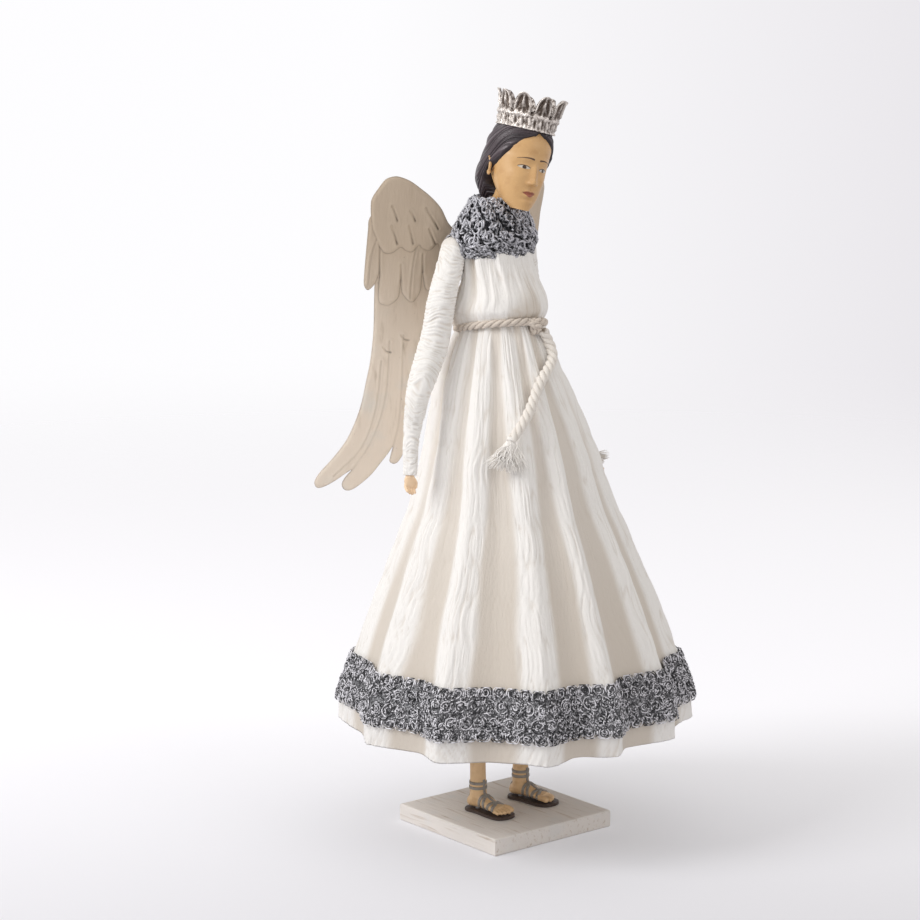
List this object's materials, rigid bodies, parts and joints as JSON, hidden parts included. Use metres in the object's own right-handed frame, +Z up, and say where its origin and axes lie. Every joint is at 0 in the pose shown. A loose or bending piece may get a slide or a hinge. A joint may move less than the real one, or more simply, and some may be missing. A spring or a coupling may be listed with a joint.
{
  "type": "angel figurine",
  "caption": "Standing angel figurine on a square board: crinkled cotton dress with rope belt, crocheted collar, lace hem, cast crown and layered metal wings.",
  "frame": {"origin": "middle of the board's underside", "axes": "+Z up; the figure faces -Y, so her right hand is on the -X side and her left hand on the +X side"},
  "size_m": [0.2429, 0.2442, 0.5161],
  "materials": {
    "limewashed_wood": "white limewash rubbed thin, matt",
    "screw_steel": "zinc plated",
    "tan_resin": "painted cast resin, satin",
    "sole_brown": "dark brown, satin",
    "strap_grey": "grey painted straps, satin",
    "dowel_wood": "bare beech",
    "core_wood": "bare turned wood",
    "white_cotton": "crinkled cotton, matt",
    "lining_cotton": "plain stiffened cotton, matt",
    "grey_lace": "crocheted lace of metallic grey yarn",
    "grey_yarn": "crochet of metallic grey yarn",
    "cream_rope": "twisted cotton rope, matt",
    "wire_steel": "annealed wire",
    "dark_resin": "painted cast resin, satin",
    "silver_cast": "antique silver, rubbed",
    "wing_paint": "worn cream paint over embossed sheet",
    "bracket_steel": "folded sheet, dull grey"
  },
  "bodies": {
    "figure": {"base_plinth": "limewashed_wood", "right_foot_screw": "screw_steel", "left_foot_screw": "screw_steel", "right_foot": "tan_resin", "left_foot": "tan_resin", "right_sandal_sole": "sole_brown", "left_sandal_sole": "sole_brown", "right_sandal_straps": "strap_grey", "left_sandal_straps": "strap_grey", "right_leg_rod": "dowel_wood", "left_leg_rod": "dowel_wood", "neck_dowel": "dowel_wood", "torso_core": "core_wood", "skirt": "white_cotton", "lace_band": "grey_lace", "skirt_lining": "lining_cotton", "bodice": "white_cotton", "rope_belt": "cream_rope", "belt_knot": "cream_rope", "belt_tail": "cream_rope", "belt_tassel": "cream_rope", "head": "tan_resin", "hair": "dark_resin", "crown": "silver_cast", "collar": "grey_yarn", "right_wing_primaries": "wing_paint", "right_wing_secondaries": "wing_paint", "right_wing_coverts": "wing_paint", "left_wing_primaries": "wing_paint", "left_wing_secondaries": "wing_paint", "left_wing_coverts": "wing_paint", "right_wing_screw": "screw_steel", "left_wing_screw": "screw_steel", "bracket_screw_lower": "screw_steel", "bracket_screw_upper": "screw_steel", "wing_bracket": "bracket_steel"},
    "right_arm": {"right_sleeve": "white_cotton", "right_hand": "tan_resin", "right_arm_wire": "wire_steel"},
    "left_arm": {"left_sleeve": "white_cotton", "left_hand": "tan_resin", "left_arm_wire": "wire_steel"}
  },
  "joints": [
    {"name": "right_shoulder_swing", "type": "hinge", "parent": "figure", "child": "right_arm", "pos_m": [-0.0305, 0.0185, 0.406], "axis": [-1, 0, 0], "range_deg": [-10, 50]},
    {"name": "left_shoulder_swing", "type": "hinge", "parent": "figure", "child": "left_arm", "pos_m": [0.0305, 0.0185, 0.406], "axis": [-1, 0, 0], "range_deg": [-10, 50]}
  ]
}
